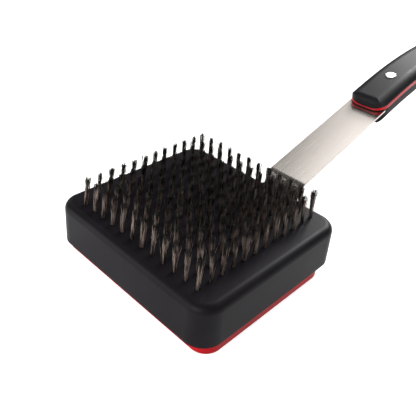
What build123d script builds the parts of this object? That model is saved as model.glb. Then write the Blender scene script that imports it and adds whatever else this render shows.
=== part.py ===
from build123d import *
import os
from math import atan, cos, degrees, radians, sin, tan

# Grill cleaning brush, lying on its back with the wire tufts up.
# Millimetres. Origin: middle of the brush block's footprint, on the underside of the base plate.
# +Z: the way the tufts point. +X: from the brush block towards the grip. Y: across the brush.

# ------------------------------------------------------------------ driving dimensions
# Tufts
tuft_pitch = 8.5
tufts_per_side = 12
tuft_length = 18.7          # above the block's face
tuft_tip_r = 2.2
tuft_root_r = 1.2
tuft_hole_depth = 9.0
tuft_fit = 0.05             # radial gap of a tuft in its hole
anchor_thick = 0.5
anchor_height = 1.8
anchor_fit = 0.05

# Brush block: a moulded, hollow rounded rectangle with draft
block_length = 113.5        # X, at the tuft face
block_width = 124.4         # Y, at the tuft face
block_height = 26.2
block_draft = 0.9           # each side grows by this much down to the rim
block_corner_r = 12.1       # at the tuft face
block_top_fillet = 4.9
block_wall = 4.0
block_top_thick = 12.0
rib_thick = 2.0
rib_depth = 8.0
rib_spacing_x = 56.0
rib_spacing_y = 60.0
boss_r = 4.6

# Base plate: the slab under the block, with a lid that locates inside the block's wall
base_thick = 6.6
base_front_inset = 3.6      # from the block's rim, at the end away from the grip
base_rear_inset = 10.3
base_side_inset = 1.0
base_corner_r = 10.0
base_edge_fillet = 0.3
lid_thick = 2.5
lid_gap = 0.3               # between lid and block wall
channel_gap = 0.2           # each side of the strip in its channel

# Neck strip: flat stainless strip, cranked up behind the tufts, running into the grip as a tang
strip_thick = 1.5
strip_width = 29.8
strip_drop = 0.4            # top face of the strip below the block's rim
strip_start_x = -31.0
strip_corner_r = 4.0
riser_x = 79.5              # where the lower bend's two straights would meet
riser_deg = 65.0
riser_height = 17.16        # between the lower and the upper bend's meeting points
riser_lower_r = 9.0
riser_upper_r = 6.0
neck_deg = 16.95            # rise of the straight neck
neck_length = 95.6          # upper bend's meeting point to the front of the grip
tang_width = 20.0
tang_shoulder = 8.0         # full strip width runs this far into the grip
tang_end_gap = 20.0         # from the end of the tang to the end of the grip

# Grip: two black shells with a red liner between them, round a bowed tang
grip_length = 215.0
grip_width = 31.0
grip_low = 11.0             # below the strip's middle plane
grip_high = 10.5            # above it
grip_corner_r = 8.0
grip_plan_r = 10.0          # corners seen from above
grip_side_r = 5.0           # corners seen from the side
grip_straight = 20.0        # before the bow starts
grip_bow_r = 400.0
lip_height = 1.9            # top of the lower shell above the strip's middle plane
liner_mid = 0.8             # liner height at the middle
liner_side = 3.0            # liner height at the sides
pocket_gap = 0.15

# Fasteners
base_screw_x = 40.0
base_screw_y = 44.0
neck_screw_x = (-20.0, 8.0, 36.0)
screw_r = 1.75
screw_fit = 0.05
screw_clear = 0.35
screw_head_r = 3.7
screw_head_h = 2.2
screw_length = 11.0         # under the head
head_gap = 0.4
drive_width = 1.1
drive_depth = 1.0
rivet_front = 36.0          # first rivet, from the front of the grip
rivet_back = 23.0           # last rivet, from the end of the tang; the third is midway
rivet_r = 2.4
rivet_fit = 0.05
rivet_head_r = 4.2
rivet_head_h = 1.6
rivet_sink = 1.0
rivet_dome = 0.5

# Hanging bail at the end of the grip
bail_wire_r = 1.5
bail_fit = 0.05
bail_gap = 0.8              # between leg and grip side
bail_reach = 27.0           # pivot to the middle of the cross bar
bail_stub = 7.0             # length inside the grip
bail_pivot_back = 9.0       # from the end of the grip
bail_pivot_drop = 4.6       # below the strip's middle plane
bail_corner_r = 11.0
bail_elbow_r = 2.6

# ------------------------------------------------------------------ derived levels
rim_z = base_thick
face_z = rim_z + block_height
ceiling_z = face_z - block_top_thick
strip_floor = base_thick - strip_drop - strip_thick
lid_top = rim_z + lid_thick
strip_mid = strip_floor + strip_thick / 2
strip_top = strip_floor + strip_thick
rim_length = block_length + 2 * block_draft
rim_width = block_width + 2 * block_draft
rim_corner_r = block_corner_r + block_draft
draft_deg = degrees(atan(block_draft / block_height))
hole_r = tuft_root_r + tuft_fit
base_x0 = -rim_length / 2 + base_front_inset
base_x1 = rim_length / 2 - base_rear_inset
base_width = rim_width - 2 * base_side_inset
base_mid = (base_x0 + base_x1) / 2
base_screws = [(x, y) for x in (-base_screw_x, base_screw_x) for y in (-base_screw_y, base_screw_y)]
neck_screws = [(x, 0) for x in neck_screw_x]
recess_depth = screw_head_h + head_gap
bow_length = grip_length - grip_straight
rivet_last = grip_length - tang_end_gap - rivet_back
rivet_stations = (rivet_front, (rivet_front + rivet_last) / 2, rivet_last)


def at(x, y, z):
    return Location((x, y, z))


def group(solids, label):
    """One node made of separate solids."""
    return Compound(label=label, children=list(solids))


def rod(r, x, y, z0, z1):
    """Upright cylinder between two levels."""
    return at(x, y, z0) * Cylinder(r, z1 - z0, align=(Align.CENTER, Align.CENTER, Align.MIN))


def slab(x0, x1, width, z0, z1):
    """Box centred on Y between two X positions and two levels."""
    size = Box(x1 - x0, width, z1 - z0, align=(Align.MIN, Align.CENTER, Align.MIN))
    return at(x0, 0, z0) * size


# ------------------------------------------------------------------ the strip's line
# The strip's middle line in the XZ plane is a chain of straights and arcs: (length, turn in degrees).
lower_cut = riser_lower_r * tan(radians(riser_deg / 2))
upper_cut = riser_upper_r * tan(radians((riser_deg - neck_deg) / 2))
riser_slope = riser_height / sin(radians(riser_deg))
bow_deg = degrees(bow_length / grip_bow_r)
chain = [
    (riser_x - lower_cut - strip_start_x, 0),
    (riser_lower_r * radians(riser_deg), riser_deg),
    (riser_slope - lower_cut - upper_cut, 0),
    (riser_upper_r * radians(riser_deg - neck_deg), neck_deg - riser_deg),
    (neck_length - upper_cut + grip_straight, 0),
    (bow_length, -bow_deg),
]
grip_start = sum(length for length, turn in chain[:5]) - grip_straight
grip_end = grip_start + grip_length
tang_end = grip_end - tang_end_gap


def along(s):
    """X, Z and heading in radians at a distance s along the strip's middle line."""
    x, z, heading = strip_start_x, strip_mid, 0.0
    for length, turn in chain:
        step = min(s, length)
        if turn:
            r = length / radians(turn)
            new = heading + step / r
            x, z, heading = x + r * (sin(new) - sin(heading)), z + r * (cos(heading) - cos(new)), new
        else:
            x, z = x + step * cos(heading), z + step * sin(heading)
        s -= step
        if s <= 0:
            break
    return x, z, heading


def point(s, w):
    """Point at distance s along the line, w above it, in the plane Y = 0."""
    x, z, heading = along(s)
    return (x - w * sin(heading), 0, z + w * cos(heading))


def frame_at(s, w=0):
    """Plane at distance s, w above the line: X forwards along the strip, Z away from its top face."""
    x, z, heading = along(s)
    return Plane(point(s, w), x_dir=(cos(heading), 0, sin(heading)), z_dir=(-sin(heading), 0, cos(heading)))


def section_plane(s):
    """Plane across the line at distance s: its X is the brush's Y, its Y points off the strip's top face."""
    x, z, heading = along(s)
    return Plane(point(s, 0), x_dir=(0, 1, 0), z_dir=(cos(heading), 0, sin(heading)))


def edges_along(s0, s1, w):
    """The line's straights and arcs between two distances, offset by w."""
    marks = [0.0]
    for length, turn in chain:
        marks.append(marks[-1] + length)
    pieces = []
    for (length, turn), start in zip(chain, marks):
        a, b = max(s0, start), min(s1, start + length)
        if b - a > 1e-6:
            middle = point((a + b) / 2, w)
            ends = point(a, w), point(b, w)
            pieces.append(ThreePointArc(ends[0], middle, ends[1]) if turn else Line(*ends))
    return pieces


def band(s0, s1, w0, w1, width):
    """Solid between two offsets of the line and two distances along it, centred on Y."""
    low, high = edges_along(s0, s1, w0), edges_along(s0, s1, w1)
    ends = [Line(point(s0, w0), point(s0, w1)), Line(point(s1, w0), point(s1, w1))]
    face = make_face(low + high + ends)
    return extrude(face, amount=width / 2, both=True, dir=(0, 1, 0))


def swept(profile, s0, s1):
    """A profile drawn across the line, carried from s0 to s1."""
    path = Wire(edges_along(s0, s1, 0))
    return sweep(section_plane(s0) * profile, path=path)


# ------------------------------------------------------------------ brush block
def make_block():
    rim = RectangleRounded(rim_length, rim_width, rim_corner_r)
    body = at(0, 0, rim_z) * extrude(rim, amount=block_height, taper=draft_deg)
    body = fillet(body.faces().sort_by(Axis.Z)[-1].edges(), block_top_fillet)
    mouth = RectangleRounded(rim_length - 2 * block_wall, rim_width - 2 * block_wall, rim_corner_r - block_wall)
    cavity = at(0, 0, rim_z) * extrude(mouth, amount=ceiling_z - rim_z, taper=draft_deg)
    inside = [rod(boss_r, x, y, lid_top, ceiling_z) for x, y in base_screws]
    inside += [rod(boss_r, x, y, strip_top, ceiling_z) for x, y in neck_screws]
    rib_z = ceiling_z - rib_depth
    for side in (-1, 1):
        long_rib = slab(-rim_length / 2, rim_length / 2, rib_thick, rib_z, ceiling_z)
        cross_rib = slab(-rib_thick / 2, rib_thick / 2, rim_width, rib_z, ceiling_z)
        inside += [at(0, side * rib_spacing_y / 2, 0) * long_rib, at(side * rib_spacing_x / 2, 0, 0) * cross_rib]
    hollow = cavity - inside
    pilots = [rod(screw_r + screw_fit, x, y, lid_top, ceiling_z + 1) for x, y in base_screws]
    pilots += [rod(screw_r + screw_fit, x, y, strip_top, ceiling_z + 1) for x, y in neck_screws]
    sockets = [
        at(0, 0, face_z - tuft_hole_depth) * place * rod(hole_r, 0, 0, 0, tuft_hole_depth + 1)
        for place in GridLocations(tuft_pitch, tuft_pitch, tufts_per_side, tufts_per_side)
    ]
    return body - hollow - pilots - sockets


# ------------------------------------------------------------------ tufts and their anchors
def make_tuft():
    """Folded wire bundle: straight in its hole, fanning out above it, notched for the anchor."""
    root = rod(tuft_root_r, 0, 0, -tuft_hole_depth, 0)
    fan = Cone(tuft_root_r, tuft_tip_r, tuft_length, align=(Align.CENTER, Align.CENTER, Align.MIN))
    notch = Box(anchor_thick + 2 * anchor_fit, 3 * tuft_root_r, 2 * (anchor_height + anchor_fit))
    return root + fan - at(0, 0, -tuft_hole_depth) * notch


def make_anchor():
    """Flat staple that pins the fold of a tuft to the floor of its hole."""
    blade = Box(anchor_thick, 2 * tuft_root_r, anchor_height, align=(Align.CENTER, Align.CENTER, Align.MIN))
    return at(0, 0, -tuft_hole_depth) * blade & rod(tuft_root_r, 0, 0, -tuft_hole_depth, 0)


# ------------------------------------------------------------------ base plate
def make_base():
    plate = RectangleRounded(base_x1 - base_x0, base_width, base_corner_r)
    body = at(base_mid, 0, 0) * extrude(plate, amount=base_thick)
    body = fillet(body.faces().sort_by(Axis.Z)[0].edges(), base_edge_fillet)
    inset = block_wall + lid_gap
    lid = RectangleRounded(rim_length - 2 * inset, rim_width - 2 * inset, rim_corner_r - inset)
    body += at(0, 0, rim_z) * extrude(lid, amount=lid_thick, taper=draft_deg)
    channel_x0 = strip_start_x - channel_gap
    body -= slab(channel_x0, rim_length, strip_width + 2 * channel_gap, strip_floor, lid_top + 1)
    body -= [rod(screw_r + screw_clear, x, y, -1, lid_top + 1) for x, y in base_screws + neck_screws]
    body -= [rod(screw_head_r + head_gap, x, y, -1, recess_depth) for x, y in base_screws + neck_screws]
    return body


# ------------------------------------------------------------------ screws
def make_screw(x, y, seat):
    """Pan-head screw with a cross recess, its head seated at a level and its shank going up."""
    body = rod(screw_r, x, y, seat, seat + screw_length)
    body += rod(screw_head_r, x, y, seat - screw_head_h, seat)
    low_face = seat - screw_head_h
    for long_x, long_y in ((1.3 * screw_head_r, drive_width), (drive_width, 1.3 * screw_head_r)):
        body -= at(x, y, low_face) * Box(long_x, long_y, 2 * drive_depth)
    return body


# ------------------------------------------------------------------ neck strip
def make_strip():
    half = strip_thick / 2
    body = band(0, grip_start + tang_shoulder, -half, half, strip_width)
    start_edges = body.edges().filter_by(Axis.Z).group_by(Axis.X)[0]
    body = fillet(start_edges, strip_corner_r)
    body += band(grip_start + tang_shoulder - 1, tang_end, -half, half, tang_width)
    body -= [rod(screw_r + screw_clear, x, y, 0, strip_top + 1) for x, y in neck_screws]
    body -= [rivet_hole(s) for s in rivet_stations]
    return body


# ------------------------------------------------------------------ grip
def outline_section():
    height = grip_low + grip_high
    middle = (grip_high - grip_low) / 2
    return Pos(0, middle) * RectangleRounded(grip_width, height, grip_corner_r)


def parting_disc():
    """Large disc whose lower edge is the liner's curved top: low in the middle, high at the sides."""
    sagitta = liner_side - liner_mid
    r = (grip_width**2 / 4 + sagitta**2) / (2 * sagitta)
    return Pos(0, lip_height + liner_mid + r) * Circle(r)


def end_waste(r, keep):
    """What comes off both ends of the grip when their corners are rounded to r.

    keep is a rounded block, 2 r long, centred r inside the end.
    """
    blank = Box(2 * r, 2 * grip_width, 4 * grip_low)
    front = frame_at(grip_start) * blank - frame_at(grip_start + r) * keep
    return front + (frame_at(grip_end) * blank - frame_at(grip_end - r) * keep)


def plan_waste():
    """Corners of the ends seen from above."""
    keep = RectangleRounded(2 * grip_plan_r, grip_width, 0.98 * grip_plan_r)
    return end_waste(grip_plan_r, extrude(keep, amount=2 * grip_low, both=True))


def side_waste():
    """Corners of the ends seen from the side."""
    keep = RectangleRounded(2 * grip_side_r, grip_low + grip_high, 0.98 * grip_side_r)
    middle = (grip_high - grip_low) / 2
    return end_waste(grip_side_r, Pos(0, 0, middle) * Rot(90, 0, 0) * extrude(keep, amount=grip_width, both=True))


def half_plane(low, high):
    """Wide rectangle between two heights of the section."""
    return Pos(0, (low + high) / 2) * Rectangle(2 * grip_width, high - low)


def rivet_hole(s):
    return frame_at(s + grip_start) * Cylinder(rivet_r + rivet_fit, 4 * grip_low)


def rivet_seats(s):
    """Hole and both head recesses of one rivet."""
    top = frame_at(s + grip_start, grip_high - rivet_sink)
    low = frame_at(s + grip_start, -grip_low + rivet_sink)
    seat = Cylinder(rivet_head_r + 2 * rivet_fit, 10, align=(Align.CENTER, Align.CENTER, Align.MIN))
    return [rivet_hole(s), top * seat, low * Rot(180, 0, 0) * seat]


def make_rivet(s):
    """Rivet with a shallow dome at each end, clamping the two shells on the tang."""
    place = frame_at(s + grip_start)
    span = grip_low + grip_high - 2 * rivet_sink
    middle = (grip_high - grip_low) / 2
    body = Pos(0, 0, middle) * Cylinder(rivet_r, span)
    for side in (-1, 1):
        head = Cylinder(rivet_head_r, rivet_head_h, align=(Align.CENTER, Align.CENTER, Align.MIN))
        head = fillet(head.edges().sort_by(Axis.Z)[-1], rivet_dome)
        turned = head if side > 0 else Rot(180, 0, 0) * head
        body += Pos(0, 0, middle + side * span / 2) * turned
    return place * body


def finish_shell(body):
    """Round the grip's ends and make room for the rivets."""
    body = body - plan_waste() - side_waste()
    return body - [cut for s in rivet_stations for cut in rivet_seats(s)]


def strip_pocket():
    """Room for the strip's full-width shoulders and for the tang."""
    half = strip_thick / 2 + pocket_gap
    front = band(grip_start - 1, grip_start + tang_shoulder + pocket_gap, -half, half, strip_width + 2 * pocket_gap)
    return front + band(grip_start, tang_end + pocket_gap, -half, half, tang_width + 2 * pocket_gap)


def bail_pivot():
    return point(grip_end - bail_pivot_back, -bail_pivot_drop)


def make_lower():
    section = outline_section() & half_plane(-2 * grip_low, lip_height)
    body = finish_shell(swept(section, grip_start, grip_end)) - strip_pocket()
    x, y, z = bail_pivot()
    bore = Rot(90, 0, 0) * Cylinder(bail_wire_r + bail_fit, bail_stub + 2, align=(Align.CENTER, Align.CENTER, Align.MIN))
    depth = grip_width / 2 - bail_stub - bail_fit
    body -= at(x, -depth, z) * bore
    body -= at(x, depth, z) * Rot(180, 0, 0) * bore
    return body


def make_liner():
    section = (outline_section() & half_plane(lip_height, 2 * grip_high)) - parting_disc()
    return finish_shell(swept(section, grip_start, grip_end))


def make_upper():
    section = outline_section() & half_plane(lip_height, 2 * grip_high) & parting_disc()
    return finish_shell(swept(section, grip_start, grip_end))


def make_bail():
    """Bent wire: a stub in each side of the grip, two legs and a cross bar, hanging straight down."""
    x, y, z = bail_pivot()
    leg = grip_width / 2 + bail_gap + bail_wire_r
    inner = grip_width / 2 - bail_stub
    low = z - bail_reach
    corners = [(x, -inner, z), (x, -leg, z), (x, -leg, low), (x, leg, low), (x, leg, z), (x, inner, z)]
    path = FilletPolyline(*corners, radius=[bail_elbow_r, bail_corner_r, bail_corner_r, bail_elbow_r])
    section = Plane(corners[0], z_dir=(0, -1, 0)) * Circle(bail_wire_r)
    return sweep(section, path=path)


# ------------------------------------------------------------------ write every node
def main():
    nodes = {
        "brush_block": make_block(),
        "base_plate": make_base(),
        "neck_strip": make_strip(),
        "grip_lower": make_lower(),
        "grip_liner": make_liner(),
        "grip_upper": make_upper(),
        "hang_bail": make_bail(),
    }
    nodes["base_screws"] = group([make_screw(x, y, recess_depth) for x, y in base_screws], "base_screws")
    nodes["neck_screws"] = group([make_screw(x, y, recess_depth) for x, y in neck_screws], "neck_screws")
    nodes["grip_rivets"] = group([make_rivet(s) for s in rivet_stations], "grip_rivets")
    tuft, anchor = make_tuft(), make_anchor()
    spots = GridLocations(tuft_pitch, tuft_pitch, 1, tufts_per_side)
    anchors = []
    for row in range(tufts_per_side):
        x = (row - (tufts_per_side - 1) / 2) * tuft_pitch
        name = f"tuft_row_{row + 1:02d}"
        nodes[name] = group([at(x, 0, face_z) * spot * tuft for spot in spots], name)
        anchors += [at(x, 0, face_z) * spot * anchor for spot in spots]
    nodes["tuft_anchors"] = group(anchors, "tuft_anchors")

    os.makedirs("parts", exist_ok=True)
    for name, shape in nodes.items():
        export_step(shape, f"parts/{name}.step")
    print("pivot of the bail", [round(v, 3) for v in bail_pivot()])


main()
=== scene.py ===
# %% [markdown]
# # A wide grill cleaning brush
# The brush lies on its back with its steel wires up. The CAD model holds every piece at its real size,
# and this file gives those pieces their finish. The one thing that CAD leaves plain is the wires: there
# each tuft is a solid plug, and here it becomes a bundle of separate wires.

# %% Load the fixed frame
import math

import bpy
import numpy as np
from mathutils import Matrix, Vector


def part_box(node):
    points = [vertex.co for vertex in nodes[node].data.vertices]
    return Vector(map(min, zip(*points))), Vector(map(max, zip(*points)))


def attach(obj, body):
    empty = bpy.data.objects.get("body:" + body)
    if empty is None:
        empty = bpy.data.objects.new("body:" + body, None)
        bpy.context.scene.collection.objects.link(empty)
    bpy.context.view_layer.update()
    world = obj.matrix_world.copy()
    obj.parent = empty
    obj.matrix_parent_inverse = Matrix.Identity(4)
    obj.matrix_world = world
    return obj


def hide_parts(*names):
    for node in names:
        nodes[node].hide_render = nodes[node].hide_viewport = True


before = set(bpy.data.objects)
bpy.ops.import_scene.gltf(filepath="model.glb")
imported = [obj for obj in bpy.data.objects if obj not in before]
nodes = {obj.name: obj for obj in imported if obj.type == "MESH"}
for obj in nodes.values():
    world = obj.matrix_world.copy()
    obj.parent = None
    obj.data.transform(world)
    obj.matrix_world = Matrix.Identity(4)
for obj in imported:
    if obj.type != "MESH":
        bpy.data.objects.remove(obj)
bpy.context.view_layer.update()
MM = 0.001

# %% [markdown]
# ## Three helpers for materials
# Colours are written as the sRGB hex values that one would read off a sample, and the shader needs them
# linear. A material is a chain of nodes, so one short function adds a node, sets what it is given and
# links what it is given. A pattern's scale comes from its real size in millimetres: the noise texture
# repeats once per unit, so a scale of 1000 / size makes features of that size.


# %% Colour, node and material helpers
def linear(hex_colour):
    """sRGB hex to linear RGBA: below 0.04045 divide by 12.92, above it ((c + 0.055) / 1.055) ** 2.4."""
    c = np.array([int(hex_colour[i:i + 2], 16) for i in (1, 3, 5)]) / 255
    c = np.where(c <= 0.04045, c / 12.92, ((c + 0.055) / 1.055) ** 2.4)
    return (*c.tolist(), 1.0)


def add(tree, kind, inputs=None, **settings):
    """Adds one shader node. An input is either a value or another node's output, which is then linked."""
    made = tree.nodes.new(kind)
    for key, value in settings.items():
        setattr(made, key, value)
    for key, value in (inputs or {}).items():
        if isinstance(value, bpy.types.NodeSocket):
            tree.links.new(value, made.inputs[key])
        else:
            made.inputs[key].default_value = value
    return made


def start_material(name, **shader):
    """A new material with its shader's own sockets set. Returns the material, its tree and the shader."""
    made = bpy.data.materials.new(name)
    made.use_nodes = True
    tree = made.node_tree
    bsdf = tree.nodes["Principled BSDF"]
    for key, value in shader.items():
        bsdf.inputs[key.replace("_", " ")].default_value = value
    return made, tree, bsdf


def per_mm(size):
    """Texture scale whose features are this many millimetres across."""
    return 1 / (size * MM)


print("a near-black plastic, linear:", [round(v, 4) for v in linear("#171519")])

# %% [markdown]
# ## Moulded black plastic
# The block is ABS, moulded in a tool with a fine spark texture. That gives a satin surface: grains of
# about half a millimetre that blur reflections, and soft cloudy patches where the plastic cooled at
# different speeds. Both come from noise in Object coordinates, so no seams show. The grain keeps the
# reflection weak, so the specular level is far below that of a polished plastic.

# %% Plastic materials
CLOUD_MM = 22.0              # size of the soft patches
CLOUD_EDGES = (0.35, 0.65)   # noise values where the darker shade ends and the lighter one begins
GLOSS_DROP, GLOSS_RISE = 0.04, 0.05  # change of roughness from patch to patch


def plastic(name, hex_dark, hex_light, roughness, grain_mm, grain_depth, specular):
    """Moulded plastic: two close shades in soft clouds, uneven gloss, and a fine spark-texture bump.

    Colour and roughness both follow one noise value: colour between two stops, roughness in a straight
    line from GLOSS_DROP below the given value to GLOSS_RISE above it.
    """
    made, tree, bsdf = start_material(name, IOR=1.5, Specular_IOR_Level=specular)
    place = add(tree, "ShaderNodeTexCoord").outputs["Object"]
    cloud = add(tree, "ShaderNodeTexNoise", {"Vector": place, "Scale": per_mm(CLOUD_MM), "Detail": 4.0})
    shade = add(tree, "ShaderNodeValToRGB", {"Fac": cloud.outputs["Fac"]})
    for element, colour, stop in zip(shade.color_ramp.elements, (hex_dark, hex_light), CLOUD_EDGES):
        element.color, element.position = linear(colour), stop
    gloss = add(tree, "ShaderNodeMapRange", {"Value": cloud.outputs["Fac"], "To Min": roughness - GLOSS_DROP,
                                             "To Max": roughness + GLOSS_RISE})
    grain = add(tree, "ShaderNodeTexNoise", {"Vector": place, "Scale": per_mm(grain_mm), "Detail": 2.0})
    bump = add(tree, "ShaderNodeBump", {"Height": grain.outputs["Fac"], "Strength": 0.5,
                                        "Distance": grain_depth * MM})
    tree.links.new(shade.outputs["Color"], bsdf.inputs["Base Color"])
    tree.links.new(gloss.outputs["Result"], bsdf.inputs["Roughness"])
    tree.links.new(bump.outputs["Normal"], bsdf.inputs["Normal"])
    return made


block_abs = plastic("moulded_black_abs", "#121013", "#171519", 0.4, 0.45, 0.05, 0.05)
base_abs = plastic("moulded_red_abs", "#8e0b13", "#9c0d16", 0.34, 0.6, 0.02, 0.05)
grip_tpe = plastic("soft_touch_black_tpe", "#131315", "#19191b", 0.5, 0.35, 0.04, 0.08)
liner_abs = plastic("moulded_red_liner_abs", "#9d0b14", "#b00f18", 0.32, 0.6, 0.02, 0.2)
print("plastics:", block_abs.name, base_abs.name, grip_tpe.name, liner_abs.name)

# %% [markdown]
# ## Steel
# The strip is cold-rolled stainless, brushed along its length: fine straight lines that stretch a
# highlight sideways. The noise is stretched along X by a small scale there, which leaves thin lines
# across Y. Screws, rivets and the bail are plated, turned or drawn, which leaves rounder marks. A metal
# keeps the default IOR, because its colour is what sets its reflection.

# %% Metal materials
BAND_WIDTH = 7               # a faint wide band, in line widths
MARK_RANGE = (0.7, 1.3)      # the sum of both noises mostly stays between these


def steel(name, hex_dark, hex_light, roughness, vary, line_mm, stretch, depth):
    """Metal with marks line_mm wide, stretched by three factors along X, Y and Z, and faint wider bands.

    Level = fine noise + wide noise, taken from MARK_RANGE to 0..1. The colour follows it, and the
    roughness goes with it in a straight line from vary below the middle value to vary above.
    """
    made, tree, bsdf = start_material(name, Metallic=1.0)
    place = add(tree, "ShaderNodeTexCoord").outputs["Object"]
    drawn = add(tree, "ShaderNodeMapping", {"Vector": place, "Scale": stretch}).outputs["Vector"]
    lines = add(tree, "ShaderNodeTexNoise", {"Vector": drawn, "Scale": per_mm(line_mm), "Detail": 3.0})
    bands = add(tree, "ShaderNodeTexNoise", {"Vector": drawn, "Scale": per_mm(line_mm * BAND_WIDTH),
                                             "Detail": 2.0})
    mixed = add(tree, "ShaderNodeMath", {0: lines.outputs["Fac"], 1: bands.outputs["Fac"]}, operation="ADD")
    level = add(tree, "ShaderNodeMapRange", {"Value": mixed.outputs["Value"], "From Min": MARK_RANGE[0],
                                             "From Max": MARK_RANGE[1]})
    shade = add(tree, "ShaderNodeValToRGB", {"Fac": level.outputs["Result"]})
    shade.color_ramp.elements[0].color = linear(hex_dark)
    shade.color_ramp.elements[1].color = linear(hex_light)
    gloss = add(tree, "ShaderNodeMapRange", {"Value": level.outputs["Result"], "To Min": roughness - vary,
                                             "To Max": roughness + vary})
    bump = add(tree, "ShaderNodeBump", {"Height": lines.outputs["Fac"], "Strength": 0.4,
                                        "Distance": depth * MM})
    tree.links.new(shade.outputs["Color"], bsdf.inputs["Base Color"])
    tree.links.new(gloss.outputs["Result"], bsdf.inputs["Roughness"])
    tree.links.new(bump.outputs["Normal"], bsdf.inputs["Normal"])
    return made


strip_steel = steel("brushed_stainless", "#b4ada7", "#bcb6b0", 0.26, 0.015, 0.16, (0.02, 1.0, 0.05), 0.0002)
screw_zinc = steel("zinc_plated_steel", "#9a9a98", "#c9c9c6", 0.28, 0.06, 0.3, (1.0, 1.0, 1.0), 0.01)
rivet_steel = steel("turned_stainless", "#b5b2ae", "#c9c6c2", 0.28, 0.02, 0.6, (1.0, 1.0, 1.0), 0.0006)
bail_steel = steel("drawn_stainless_wire", "#aeaba7", "#d2cfca", 0.24, 0.05, 0.3, (1.0, 0.2, 0.2), 0.008)
print("metals:", strip_steel.name, screw_zinc.name, rivet_steel.name, bail_steel.name)

# %% [markdown]
# ## Wire with painted shade on its tips
# The tufts are carbon steel wire, drawn and crimped, left a dull brown by its heat treatment, with darker
# and lighter wires side by side. Their upper parts are painted darker, a painted shade that stands for the
# shadow the tufts cast on each other. Height decides how much, read from Object coordinates, and noise
# drawn out along the wires moves the border from place to place. A wire is too thin to carry noise of its
# own width here, so a streak is as wide as three of them.

# %% Wire material
STREAK_MM = 1.0              # width of a streak
STREAK_LENGTH = 10           # in widths
STREAK_EDGES = (0.42, 0.60)  # noise values where the light wires end and the dark ones begin
BORDER_SWAY = 14 * MM        # how much the noise moves the border of the painted shade
# roughness of the wire below the painted shade and of the part painted darker as shade
UNSHADED_ROUGHNESS, PAINTED_SHADE_ROUGHNESS = 0.34, 0.5


def wire_with_painted_shade(name, hex_painted_shade, hex_dark, hex_light, unshaded_below, painted_shade_above):
    """Wire in light and dark streaks that turns to a dark painted shade from one height in millimetres to a
    higher one.

    Painted shade = smooth step of (height + BORDER_SWAY * noise) from the lower height to the upper one. It
    blends the streaks' colour into the painted shade's colour and raises the roughness.
    """
    made, tree, bsdf = start_material(name, Metallic=0.75)
    place = add(tree, "ShaderNodeTexCoord").outputs["Object"]
    height = add(tree, "ShaderNodeSeparateXYZ", {"Vector": place}).outputs["Z"]
    drawn = add(tree, "ShaderNodeMapping", {"Vector": place, "Scale": (1.0, 1.0, 1 / STREAK_LENGTH)})
    noise = add(tree, "ShaderNodeTexNoise", {"Vector": drawn.outputs["Vector"], "Scale": per_mm(STREAK_MM),
                                             "Detail": 3.0})
    streaks = noise.outputs["Fac"]
    # painted shade: the colour darkens upward along the wires in place of the shade among the tufts
    moved = add(tree, "ShaderNodeMath", {0: streaks, 1: BORDER_SWAY, 2: height}, operation="MULTIPLY_ADD")
    painted_shade = add(tree, "ShaderNodeMapRange", {"Value": moved.outputs["Value"], "From Min": unshaded_below * MM,
                                            "From Max": painted_shade_above * MM}, interpolation_type="SMOOTHSTEP")
    shade = add(tree, "ShaderNodeValToRGB", {"Fac": streaks})
    for element, colour, stop in zip(shade.color_ramp.elements, (hex_light, hex_dark), STREAK_EDGES):
        element.color, element.position = linear(colour), stop
    mixed = add(tree, "ShaderNodeMix", {"Factor": painted_shade.outputs["Result"]}, data_type="RGBA")
    unshaded_colour, shaded_colour = (socket for socket in mixed.inputs if socket.type == "RGBA")
    blend, = (socket for socket in mixed.outputs if socket.type == "RGBA")
    shaded_colour.default_value = linear(hex_painted_shade)
    tree.links.new(shade.outputs["Color"], unshaded_colour)
    gloss = add(tree, "ShaderNodeMapRange", {"Value": painted_shade.outputs["Result"], "To Min": UNSHADED_ROUGHNESS,
                                             "To Max": PAINTED_SHADE_ROUGHNESS})
    tree.links.new(blend, bsdf.inputs["Base Color"])
    tree.links.new(gloss.outputs["Result"], bsdf.inputs["Roughness"])
    return made


# 13100e is the painted shade on the wires' upper parts; #29231f and #94847b are the dark and light wires
wire_steel = wire_with_painted_shade("crimped_carbon_steel_wire", "#13100e", "#29231f", "#94847b", 49.5, 56.5)
print("wire:", wire_steel.name)

# %% [markdown]
# ## Finish the pieces
# Each CAD piece has one material. The tuft rows are left out, because wires take their place below.


# %% Put the materials on the CAD pieces
def finish_node(name, material):
    """Gives a CAD node one material in place of its own."""
    data = nodes[name].data
    data.materials.clear()
    data.materials.append(material)


finishes = {
    "brush_block": block_abs, "base_plate": base_abs, "neck_strip": strip_steel, "grip_lower": grip_tpe,
    "grip_upper": grip_tpe, "grip_liner": liner_abs, "hang_bail": bail_steel, "base_screws": screw_zinc,
    "neck_screws": screw_zinc, "grip_rivets": rivet_steel, "tuft_anchors": screw_zinc,
}
for node_name, material in finishes.items():
    finish_node(node_name, material)
print("CAD pieces with a finish:", len(finishes))

# %% [markdown]
# ## The wire tufts
# A tuft is a bundle of crimped wires, folded in the middle and pinned by a staple, so it leaves its hole
# as two legs that fan apart. Each wire is a thin four-sided tube, and a whole row of tufts is one mesh.
# The row is worked out as one array with an axis for tufts, one for wires, one for rings along the wire
# and one for corners round it, so there is no loop over points.

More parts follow.
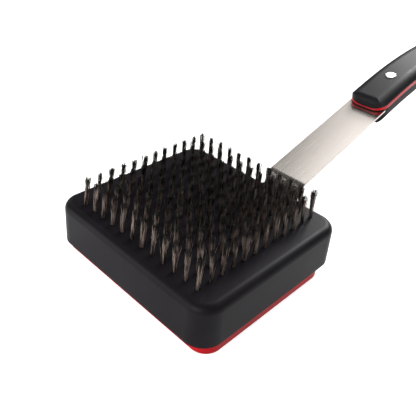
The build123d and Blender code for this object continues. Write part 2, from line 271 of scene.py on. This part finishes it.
# %% Sizes of the tufts
TUFT_ROWS = sorted(name for name in nodes if name.startswith("tuft_row_"))
WIRES = 38              # per tuft
WIRE_R = 0.15 * MM
RINGS = 12              # along each wire
SIDES = 4               # round it
SUNK = 3.0 * MM         # how far the modelled wires reach down into the hole
FOOT_R = 0.85 * MM      # each leg's wires fill a circle of this radius where they leave the hole
LEG_APART = 0.28 * MM   # half the gap between the two legs there
LEG_SPREAD = 0.22 * MM  # how much further each leg has leant out at the tips
CRIMP = 0.16 * MM
CRIMP_PITCH = 5.2 * MM
CRIMP_ONSET = 0.3       # power of the height: the crimp is near full size soon above the hole
CUT_SLOPE = 0.9         # how steeply a wire's end may be cut
FOLD_TWIST = 0.6        # a tuft's fold turns by up to this many radians
FAN = 0.28              # a wire leans out at its tip by this share of its distance from the middle
LEG_LEAN = 0.28 * MM    # random lean of a whole leg
WIRE_LEAN = 0.26 * MM   # random lean of one wire
WIRE_BOW = 0.35 * MM
STRAY_SHARE = 0.07      # wires that stand out from their tuft
STRAY_LEAN = 1.9 * MM
WEAR = 1.0 * MM         # how unevenly the wires of a tuft have worn down
TUFT_WEAR = 0.5 * MM    # the same from tuft to tuft
TIP_ROOM = 0.1 * MM     # between the tallest wire and the plug's top
LEAN_IN = 0.032         # outer tufts lean towards the middle by this share of their distance
TIP_SHIFT = np.array([0.38, -0.30]) * MM
FACE_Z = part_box("brush_block")[1].z
TIP_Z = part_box(TUFT_ROWS[0])[1].z
rng = np.random.default_rng(7)
print("wires:", WIRES * len(TUFT_ROWS) ** 2, "from z", round(FACE_Z / MM, 1), "to", round(TIP_Z / MM, 1))


# %% One row of tufts
def random_disc(shape, radius):
    """Even random points in a disc: angle 2 pi u, distance radius times the root of v."""
    angle = rng.uniform(0, 2 * np.pi, shape)
    far = radius * np.sqrt(rng.uniform(0, 1, shape))
    return np.stack([far * np.cos(angle), far * np.sin(angle)], -1)


def wire_lines(centres):
    """Middle lines of every wire in a row, as an array tufts x wires x rings x 3.

    With f the share of the free height, 0 in the hole and 1 at the tip: place = foot + (tip - foot) * f,
    plus a bow that grows as f squared, plus a crimp, which is a sine along the wire in a direction of its
    own.
    """
    tufts = len(centres)
    shape = (tufts, WIRES)
    twist = rng.uniform(-FOLD_TWIST, FOLD_TWIST, (tufts, 1))
    fold = twist + np.where(rng.uniform(size=(tufts, 1)) < 0.5, 0, np.pi / 2)
    side = np.where(np.arange(WIRES) % 2 == 0, 1.0, -1.0)[None, :]
    away = np.stack([side * np.cos(fold), side * np.sin(fold)], -1)
    foot = centres[:, None, :] + away * LEG_APART + random_disc(shape, FOOT_R)
    leg_lean = rng.normal(0, LEG_LEAN, (tufts, 2, 2))[:, (np.arange(WIRES) % 2), :]
    tip = foot + away * LEG_SPREAD + (foot - centres[:, None, :]) * FAN + leg_lean
    tip += rng.normal(0, WIRE_LEAN, (*shape, 2)) - LEAN_IN * centres[:, None, :] + TIP_SHIFT
    stray = rng.uniform(size=(*shape, 1)) < STRAY_SHARE
    tip += np.where(stray, rng.normal(0, STRAY_LEAN, (*shape, 2)), 0)
    top = TIP_Z - np.abs(rng.normal(0, WEAR, shape)) - rng.uniform(0, TUFT_WEAR, (tufts, 1)) - TIP_ROOM
    t = np.linspace(0, 1, RINGS)
    low = FACE_Z - SUNK
    z = low + (top[..., None] - low) * t
    free = np.clip((z - FACE_Z) / (TIP_Z - FACE_Z), 0, 1)
    bow = rng.normal(0, WIRE_BOW, (*shape, 1, 2)) * (free**2)[..., None]
    turn = rng.uniform(0, 2 * np.pi, (*shape, 1))
    start = rng.uniform(0, 2 * np.pi, (*shape, 1))
    wave = np.sin(2 * np.pi * z / CRIMP_PITCH + start) * CRIMP * free**CRIMP_ONSET
    crimp = np.stack([wave * np.cos(turn), wave * np.sin(turn)], -1)
    flat = foot[:, :, None, :] + (tip - foot)[:, :, None, :] * free[..., None] + bow + crimp
    return np.concatenate([flat, z[..., None]], -1).reshape(-1, RINGS, 3)


def tubes(lines, radius):
    """Closed tubes along upright lines: points and quads, with a cap at both ends.

    Ring corner k stands at angle 2 pi k / sides round its line's point. The last ring is cut on the slant:
    a corner's height changes by its place times a random slope.
    """
    count, rings = lines.shape[:2]
    angle = 2 * np.pi * np.arange(SIDES) / SIDES
    around = radius * np.stack([np.cos(angle), np.sin(angle), np.zeros(SIDES)], -1)
    points = lines[:, :, None, :] + around
    points[:, -1, :, 2] += rng.normal(0, CUT_SLOPE, (count, 2)) @ around[:, :2].T
    points = points.reshape(-1, 3)
    base = (np.arange(count) * rings * SIDES)[:, None, None]
    ring = (np.arange(rings - 1) * SIDES)[None, :, None]
    k = np.arange(SIDES)[None, None, :]
    here, following = base + ring + k, base + ring + (k + 1) % SIDES
    walls = np.stack([here, following, following + SIDES, here + SIDES], -1).reshape(-1, 4)
    corner = np.arange(SIDES)
    bottom = base[:, 0, :] + corner[::-1]
    top = base[:, 0, :] + (rings - 1) * SIDES + corner
    return points, np.concatenate([walls, bottom, top]), len(walls)


def quad_mesh(name, points, quads, material, smooth):
    """A mesh object made from arrays of points and four-cornered faces, of which the first few are smooth."""
    data = bpy.data.meshes.new(name)
    data.vertices.add(len(points))
    data.vertices.foreach_set("co", points.astype(np.float32).ravel())
    data.loops.add(quads.size)
    data.loops.foreach_set("vertex_index", quads.astype(np.int32).ravel())
    data.polygons.add(len(quads))
    data.polygons.foreach_set("loop_start", np.arange(0, quads.size, 4, dtype=np.int32))
    data.polygons.foreach_set("use_smooth", np.arange(len(quads)) < smooth)
    data.update(calc_edges=True)
    data.validate()
    data.materials.append(material)
    made = bpy.data.objects.new(name, data)
    bpy.context.scene.collection.objects.link(made)
    return made


# %% Every row of tufts
first_box, last_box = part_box(TUFT_ROWS[0]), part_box(TUFT_ROWS[-1])
row_x = np.linspace(first_box[0].x + first_box[1].x, last_box[0].x + last_box[1].x, len(TUFT_ROWS)) / 2
tuft_r = (first_box[1].x - first_box[0].x) / 2
column_y = np.linspace(first_box[0].y + tuft_r, first_box[1].y - tuft_r, len(TUFT_ROWS))
for row_name, x in zip(TUFT_ROWS, row_x):
    centres = np.stack([np.full(len(column_y), x), column_y], -1)
    points, quads, walls = tubes(wire_lines(centres), WIRE_R)
    wires = quad_mesh("wires_" + row_name[-2:], points, quads, wire_steel, smooth=walls)
    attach(wires, "brush")
    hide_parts(row_name)
print("faces in one row:", len(quads))

# %% [markdown]
# ## Floor, light and camera
# A product picture has a white table and big soft lights. The table glows a little, which keeps it white
# and lights the block's sides from below. The strongest light stands behind the grip and gives the block's
# top its sheen, two high ones show in the tilted strip, and the low ones at the front reach the tufts'
# sides. Black plastic only looks black if what it reflects is dark, so the world is a dim grey.

# %% Stage
BOX_SIZE, BOX_DISTANCE = 0.75, 1.4
LIT_POINT = Vector((0.08, 0.0, 0.03))
FLOOR_HALF = 6.0


def softbox(azimuth, height, radiance):
    """Round soft light at a direction, facing the brush. Its power is radiance x pi x its area."""
    a, e = math.radians(azimuth), math.radians(height)
    away = Vector((math.cos(a) * math.cos(e), math.sin(a) * math.cos(e), math.sin(e)))
    data = bpy.data.lights.new(f"softbox_{azimuth}_{height}", "AREA")
    data.shape, data.size = "DISK", BOX_SIZE
    data.energy = radiance * math.pi * math.pi * (BOX_SIZE / 2) ** 2
    made = bpy.data.objects.new(data.name, data)
    made.location = LIT_POINT + BOX_DISTANCE * away
    made.rotation_euler = away.to_track_quat("Z", "Y").to_euler()
    bpy.context.scene.collection.objects.link(made)


floor_points = FLOOR_HALF * np.array([[-1, -1, 0], [1, -1, 0], [1, 1, 0], [-1, 1, 0]])
floor_paint, floor_tree, floor_bsdf = start_material(
    "white_light_table", Base_Color=linear("#c8c8c8"), Roughness=0.9, IOR=1.4,
    Emission_Color=linear("#ffffff"), Emission_Strength=0.7
)
floor = quad_mesh("floor", floor_points, np.array([[0, 1, 2, 3]]), floor_paint, smooth=0)

# azimuth from +X towards +Y and height above the floor, both in degrees, and radiance
SOFTBOXES = [(7, 35, 26.0), (143, 10, 6.0), (95, 35, 1.4), (22, 60, 1.8), (52, 72, 1.7), (305, 40, 1.2),
             (185, 22, 12.0), (215, 25, 1.5)]
for azimuth, height, radiance in SOFTBOXES:
    softbox(azimuth, height, radiance)
world = bpy.data.worlds.new("studio")
world.use_nodes = True
background = world.node_tree.nodes["Background"]
background.inputs["Color"].default_value = linear("#b4b4b4")
background.inputs["Strength"].default_value = 0.18
bpy.context.scene.world = world
bpy.context.scene.view_settings.view_transform = "Standard"

# %% [markdown]
# ## Camera
# The camera looks down at the near corner of the block from the side away from the grip. Three angles
# turn it: an azimuth round the upright axis, an elevation, and a small roll about its own line of sight.

# %% Camera
LENS_MM, SENSOR_MM = 44.22, 36.0
AZIMUTH, ELEVATION, ROLL = (math.radians(a) for a in (-48.16, 34.71, 5.19))
camera_place = np.array([-180.1, -167.9, 205.7]) * MM


def camera_axes():
    """Right, up and backward directions of a camera at an azimuth and elevation, turned by a roll.

    back = (sin az cos el, -cos az cos el, sin el); right is level; up = back x right; then the pair
    right, up is turned about back by the roll.
    """
    back = np.array([
        math.sin(AZIMUTH) * math.cos(ELEVATION), -math.cos(AZIMUTH) * math.cos(ELEVATION), math.sin(ELEVATION)
    ])
    right = np.array([math.cos(AZIMUTH), math.sin(AZIMUTH), 0.0])
    up = np.cross(back, right)
    c, s = math.cos(ROLL), math.sin(ROLL)
    return c * right + s * up, c * up - s * right, back


right, up, back = camera_axes()
lens = bpy.data.cameras.new("camera")
lens.lens, lens.sensor_width = LENS_MM, SENSOR_MM
lens.clip_start, lens.clip_end = 0.01, 50.0
camera = bpy.data.objects.new("camera", lens)
turn = np.eye(4)
turn[:3, 0], turn[:3, 1], turn[:3, 2], turn[:3, 3] = right, up, back, camera_place
camera.matrix_world = Matrix(turn)
bpy.context.scene.collection.objects.link(camera)
bpy.context.scene.camera = camera
print("camera axes:", np.round(right, 4), np.round(up, 4), np.round(back, 4))
